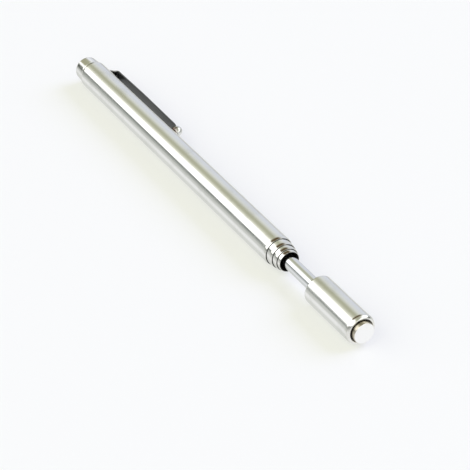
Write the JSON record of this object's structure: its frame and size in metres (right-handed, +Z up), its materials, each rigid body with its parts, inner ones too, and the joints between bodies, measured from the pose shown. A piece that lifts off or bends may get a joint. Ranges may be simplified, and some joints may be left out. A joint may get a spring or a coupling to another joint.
{
  "type": "telescopic magnetic pick-up pen",
  "caption": "Pen-shaped telescopic pick-up tool: chrome barrel with pocket clip and rear cap, nested sliding tubes, and a round head with a proud disc magnet.",
  "frame": {"origin": "on the axis, at the centre of the rear cap's flat end", "axes": "+X along the axis towards the magnet, +Y towards the pocket clip, +Z up with the pen lying down"},
  "size_m": [0.1479, 0.0111, 0.008],
  "materials": {
    "barrel_chrome": "polished chrome plate on a drawn brass tube",
    "cap_chrome": "polished chrome plate on a turned plug",
    "section_chrome": "polished chrome plate on a drawn brass tube",
    "rod_chrome": "polished plated steel rod",
    "head_chrome": "polished chrome plate on a turned shell",
    "clip_steel": "plated spring steel strip",
    "spring_bronze": "thin rolled phosphor bronze",
    "collar_brass": "turned brass",
    "sleeve_plastic": "black moulded plastic",
    "magnet_nickel": "bright nickel plate on a sintered magnet"
  },
  "bodies": {
    "barrel": {"barrel_tube": "barrel_chrome", "rear_cap": "cap_chrome"},
    "clip": {"pocket_clip": "clip_steel"},
    "section_1": {"section_1_tube": "section_chrome", "section_1_friction_spring": "spring_bronze", "section_1_stop_collar": "collar_brass"},
    "section_2": {"section_2_tube": "section_chrome", "section_2_friction_spring": "spring_bronze", "section_2_stop_collar": "collar_brass"},
    "section_3": {"section_3_tube": "section_chrome", "section_3_friction_spring": "spring_bronze", "section_3_stop_collar": "collar_brass"},
    "section_4": {"section_4_tube": "section_chrome", "section_4_friction_spring": "spring_bronze", "section_4_stop_collar": "collar_brass"},
    "section_5": {"section_5_tube": "section_chrome", "section_5_friction_spring": "spring_bronze", "section_5_stop_collar": "collar_brass"},
    "rod_slider": {"rod_friction_spring": "spring_bronze"},
    "rod": {"inner_rod": "rod_chrome", "rod_stop_collar": "collar_brass", "head_shell": "head_chrome", "magnet_sleeve": "sleeve_plastic", "magnet": "magnet_nickel"}
  },
  "joints": [
    {"name": "section_1_slide", "type": "slide", "parent": "barrel", "child": "section_1", "axis": [1, 0, 0], "range_m": [0, 0.0862]},
    {"name": "section_2_slide", "type": "slide", "parent": "section_1", "child": "section_2", "axis": [1, 0, 0], "range_m": [0, 0.08855]},
    {"name": "section_3_slide", "type": "slide", "parent": "section_2", "child": "section_3", "axis": [1, 0, 0], "range_m": [0, 0.0902]},
    {"name": "section_4_slide", "type": "slide", "parent": "section_3", "child": "section_4", "axis": [1, 0, 0], "range_m": [0, 0.09125]},
    {"name": "section_5_slide", "type": "slide", "parent": "section_4", "child": "section_5", "axis": [1, 0, 0], "range_m": [0, 0.0824]},
    {"name": "rod_slide", "type": "slide", "parent": "section_5", "child": "rod_slider", "axis": [1, 0, 0], "range_m": [-0.01345, 0.06295]},
    {"name": "rod_spin", "type": "hinge", "parent": "rod_slider", "child": "rod", "pos_m": [0.0302, 0, 0], "axis": [1, 0, 0], "continuous": true},
    {"name": "clip_flex", "type": "hinge", "parent": "barrel", "child": "clip", "pos_m": [0.008, 0.00389, 0], "axis": [0, 0, 1], "range_deg": [0, 3], "stiffness_Nm_per_rad": 0.44}
  ]
}
